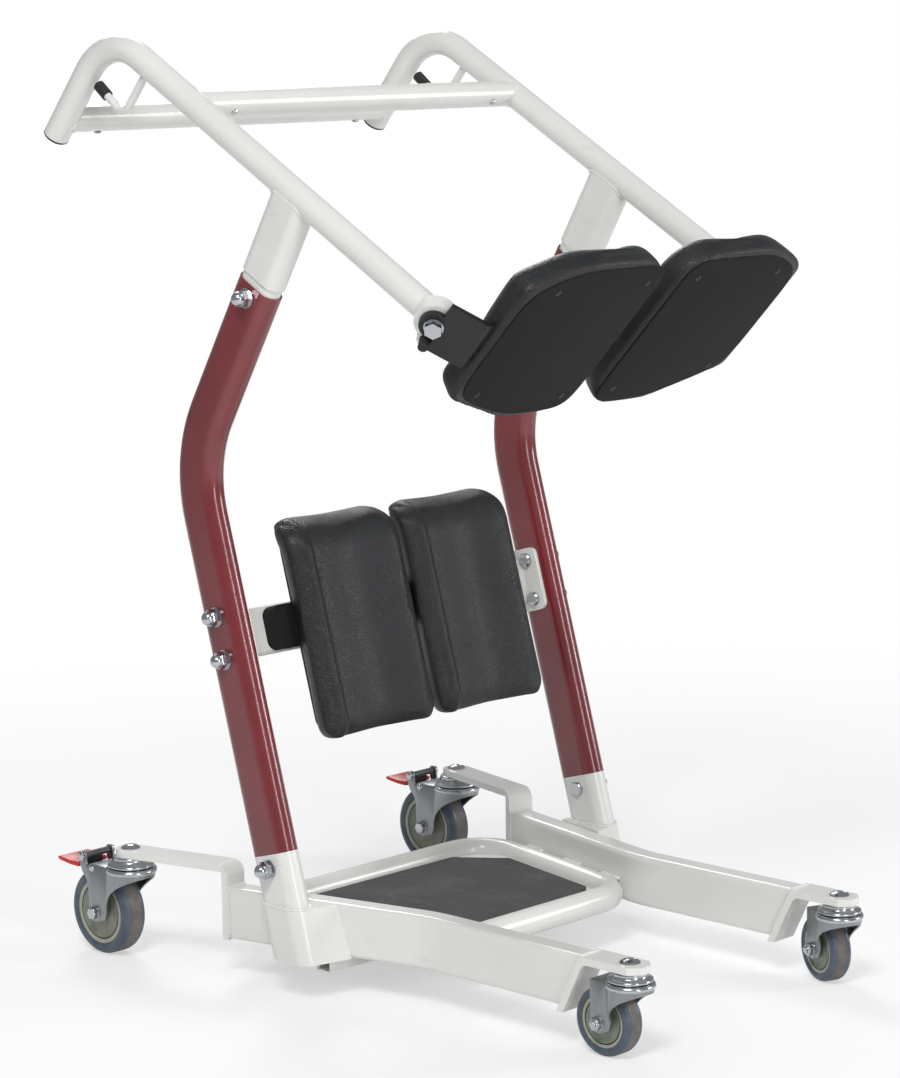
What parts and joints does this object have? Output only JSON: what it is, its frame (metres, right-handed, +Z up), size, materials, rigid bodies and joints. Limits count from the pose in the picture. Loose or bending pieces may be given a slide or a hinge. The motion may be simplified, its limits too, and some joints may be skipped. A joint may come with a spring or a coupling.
{
  "type": "standing transfer aid",
  "caption": "Wheeled stand-and-turn patient aid: footplate between low legs, two bent masts, carer handles, knee pads, swing-away seat halves and braked swivel casters.",
  "frame": {"origin": "on the floor, under the middle of the whole aid", "axes": "+Z up; -Y towards the person who steps on, +Y towards the carer at the handles; +X across, symmetric"},
  "size_m": [0.5998, 0.8362, 1.0545],
  "materials": {
    "white_paint": "smooth gloss powder coat",
    "maroon_paint": "smooth gloss powder coat",
    "charcoal_vinyl": "soft grained vinyl over foam",
    "black_board": "matte black cover on a board",
    "tread_rubber": "fine ribbed mat",
    "black_rubber": "matte",
    "black_steel": "satin black powder coat",
    "zinc_steel": "bright zinc plate",
    "bush_plastic": "plain bearing",
    "caster_wheel": "grey tread on a grey hub",
    "red_plastic": "moulded red"
  },
  "bodies": {
    "frame": {"left_leg": "white_paint", "right_leg": "white_paint", "left_rear_arm": "white_paint", "right_rear_arm": "white_paint", "left_front_arm": "white_paint", "right_front_arm": "white_paint", "left_mast_socket": "white_paint", "right_mast_socket": "white_paint", "footplate_ring": "white_paint", "footplate_plate": "white_paint", "footplate_tread": "tread_rubber", "base_cross_tube": "white_paint", "left_mast": "maroon_paint", "right_mast": "maroon_paint", "left_handle_tube": "white_paint", "right_handle_tube": "white_paint", "left_mast_neck": "white_paint", "right_mast_neck": "white_paint", "bag_hooks": "white_paint", "hook_caps": "black_rubber", "handle_end_caps": "black_rubber", "front_crossbar": "white_paint", "rear_crossbar": "white_paint", "crossbar_stubs": "white_paint", "crossbar_screws": "zinc_steel", "knee_bar": "white_paint", "knee_bar_plates": "white_paint", "left_knee_pad": "charcoal_vinyl", "right_knee_pad": "charcoal_vinyl", "knee_pad_boards": "black_board", "mast_bolts": "zinc_steel", "acorn_nuts": "zinc_steel", "bolt_washers": "zinc_steel", "seat_pivot_bolts": "zinc_steel", "seat_pivot_bushes": "bush_plastic", "seat_stop_pins": "black_rubber", "caster_stems": "zinc_steel", "caster_cups": "zinc_steel"},
    "left_seat": {"left_seat_hinge": "black_steel", "left_seat_board": "black_board", "left_seat_cushion": "charcoal_vinyl", "left_seat_screws": "zinc_steel"},
    "right_seat": {"right_seat_hinge": "black_steel", "right_seat_board": "black_board", "right_seat_cushion": "charcoal_vinyl", "right_seat_screws": "zinc_steel"},
    "left_rear_fork": {"left_rear_fork": "zinc_steel", "left_rear_axle": "zinc_steel"},
    "left_rear_wheel": {"left_rear_wheel": "caster_wheel"},
    "left_front_fork": {"left_front_fork": "zinc_steel", "left_front_axle": "zinc_steel"},
    "left_front_wheel": {"left_front_wheel": "caster_wheel"},
    "left_brake_pedal": {"left_brake_pedal": "red_plastic"},
    "right_rear_fork": {"right_rear_fork": "zinc_steel", "right_rear_axle": "zinc_steel"},
    "right_rear_wheel": {"right_rear_wheel": "caster_wheel"},
    "right_front_fork": {"right_front_fork": "zinc_steel", "right_front_axle": "zinc_steel"},
    "right_front_wheel": {"right_front_wheel": "caster_wheel"},
    "right_brake_pedal": {"right_brake_pedal": "red_plastic"}
  },
  "joints": [
    {"name": "left_seat_hinge", "type": "hinge", "parent": "frame", "child": "left_seat", "pos_m": [-0.254, -0.1995, 0.7666], "axis": [-0.7071, -0.5069, -0.493], "range_deg": [0, 178]},
    {"name": "right_seat_hinge", "type": "hinge", "parent": "frame", "child": "right_seat", "pos_m": [0.254, -0.1995, 0.7666], "axis": [-0.7071, 0.5069, 0.493], "range_deg": [0, 178]},
    {"name": "left_rear_swivel", "type": "hinge", "parent": "frame", "child": "left_rear_fork", "pos_m": [-0.26986, 0.28997, 0.1085], "axis": [0, 0, 1], "continuous": true},
    {"name": "left_rear_spin", "type": "hinge", "parent": "left_rear_fork", "child": "left_rear_wheel", "pos_m": [-0.26986, 0.33197, 0.05], "axis": [1, 0, 0], "continuous": true},
    {"name": "left_front_swivel", "type": "hinge", "parent": "frame", "child": "left_front_fork", "pos_m": [-0.176, -0.389, 0.0845], "axis": [0, 0, 1], "continuous": true},
    {"name": "left_front_spin", "type": "hinge", "parent": "left_front_fork", "child": "left_front_wheel", "pos_m": [-0.176, -0.36, 0.0375], "axis": [1, 0, 0], "continuous": true},
    {"name": "left_brake", "type": "hinge", "parent": "left_rear_fork", "child": "left_brake_pedal", "pos_m": [-0.26986, 0.35197, 0.1145], "axis": [-1, 0, 0], "range_deg": [0, 8]},
    {"name": "right_rear_swivel", "type": "hinge", "parent": "frame", "child": "right_rear_fork", "pos_m": [0.26986, 0.28997, 0.1085], "axis": [0, 0, 1], "continuous": true},
    {"name": "right_rear_spin", "type": "hinge", "parent": "right_rear_fork", "child": "right_rear_wheel", "pos_m": [0.26986, 0.33197, 0.05], "axis": [1, 0, 0], "continuous": true},
    {"name": "right_front_swivel", "type": "hinge", "parent": "frame", "child": "right_front_fork", "pos_m": [0.176, -0.389, 0.0845], "axis": [0, 0, 1], "continuous": true},
    {"name": "right_front_spin", "type": "hinge", "parent": "right_front_fork", "child": "right_front_wheel", "pos_m": [0.18686, -0.36211, 0.0375], "axis": [0.9272, -0.3746, 0], "continuous": true},
    {"name": "right_brake", "type": "hinge", "parent": "right_rear_fork", "child": "right_brake_pedal", "pos_m": [0.26986, 0.35197, 0.1145], "axis": [-1, 0, 0], "range_deg": [0, 8]}
  ]
}
